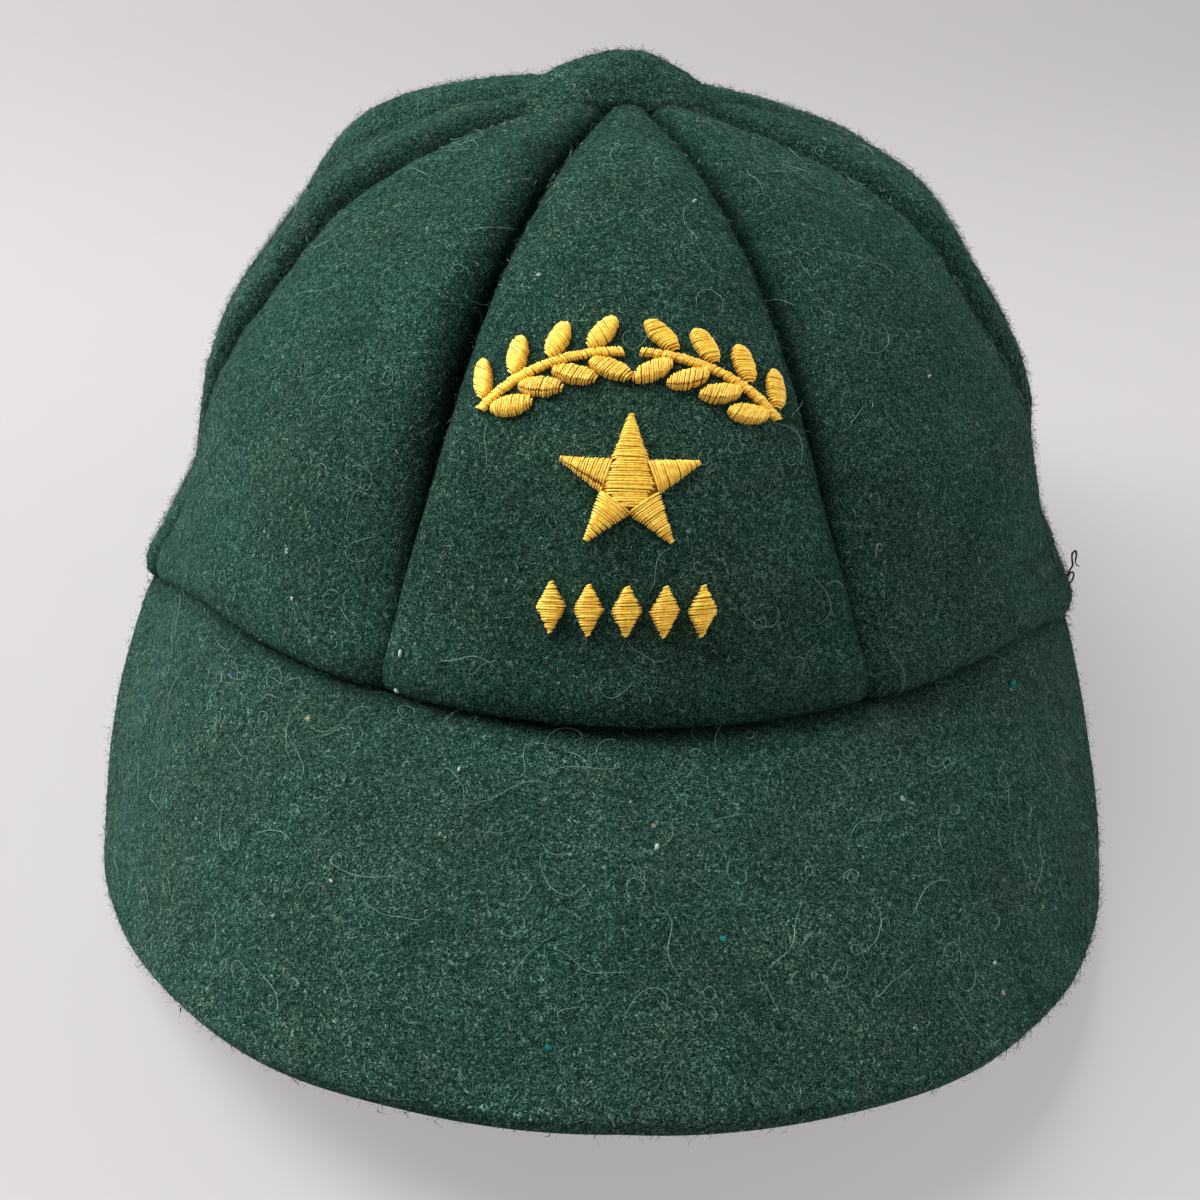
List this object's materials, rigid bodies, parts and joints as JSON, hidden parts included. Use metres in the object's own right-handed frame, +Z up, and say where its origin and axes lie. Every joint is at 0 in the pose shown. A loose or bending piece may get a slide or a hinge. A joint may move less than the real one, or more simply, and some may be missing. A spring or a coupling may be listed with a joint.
{
  "type": "cricket cap",
  "caption": "Soft wool felt cap with a gored crown, a covered button, a short curved peak and gold embroidery on the front.",
  "frame": {"origin": "centre of the bounding box on the surface that the cap rests on", "axes": "+Z up, the peak points along -Y, +X is the wearer's left side"},
  "size_m": [0.1668, 0.251, 0.1091],
  "materials": {
    "felt": "dark green milled wool felt with a short nap",
    "under_felt": "dark green wool felt under the peak",
    "gold_thread": "shiny gold embroidery thread"
  },
  "bodies": {
    "root": {"peak_top": "felt", "peak_under": "under_felt", "button": "felt", "star": "gold_thread", "gore_front": "felt", "gore_front_left": "felt", "gore_left": "felt", "gore_back_left": "felt", "gore_back": "felt", "gore_back_right": "felt", "gore_right": "felt", "gore_front_right": "felt", "stem_right": "gold_thread", "leaf_right_1": "gold_thread", "leaf_right_2": "gold_thread", "leaf_right_3": "gold_thread", "leaf_right_4": "gold_thread", "leaf_right_5": "gold_thread", "leaf_right_6": "gold_thread", "leaf_right_7": "gold_thread", "leaf_right_8": "gold_thread", "stem_left": "gold_thread", "leaf_left_1": "gold_thread", "leaf_left_2": "gold_thread", "leaf_left_3": "gold_thread", "leaf_left_4": "gold_thread", "leaf_left_5": "gold_thread", "leaf_left_6": "gold_thread", "leaf_left_7": "gold_thread", "leaf_left_8": "gold_thread", "lozenge_1": "gold_thread", "lozenge_2": "gold_thread", "lozenge_3": "gold_thread", "lozenge_4": "gold_thread", "lozenge_5": "gold_thread"}
  },
  "joints": []
}
